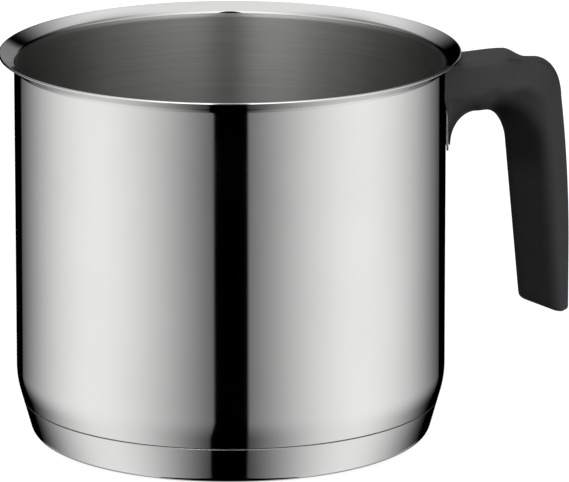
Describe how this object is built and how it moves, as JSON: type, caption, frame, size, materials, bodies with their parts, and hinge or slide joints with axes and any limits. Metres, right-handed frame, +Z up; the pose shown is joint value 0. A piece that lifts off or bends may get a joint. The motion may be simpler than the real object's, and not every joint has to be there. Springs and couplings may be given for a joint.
{
  "type": "milk pan",
  "caption": "Tall drawn steel milk pan with a flared pouring rim, an encapsulated flat base and a moulded hook handle.",
  "frame": {"origin": "centre of the base's flat underside, on the pot's axis", "axes": "+Z up along the pot's axis, +X towards the handle, +Y completes a right-handed set and is square to the part's plane of symmetry"},
  "size_m": [0.1872, 0.1516, 0.1289],
  "materials": {
    "polished_steel": "mirror-polished stainless steel outside, satin inside",
    "core_aluminium": "plain pressed aluminium, hidden in the base",
    "plain_steel": "plain stainless sheet and fasteners",
    "black_plastic": "satin black thermoset moulding"
  },
  "bodies": {
    "root": {"pot_body": "polished_steel", "base_cap": "polished_steel", "base_core": "core_aluminium", "handle_bracket": "plain_steel", "bracket_nut": "plain_steel", "handle_screw": "plain_steel", "spring_washer": "plain_steel", "handle": "black_plastic"}
  },
  "joints": []
}
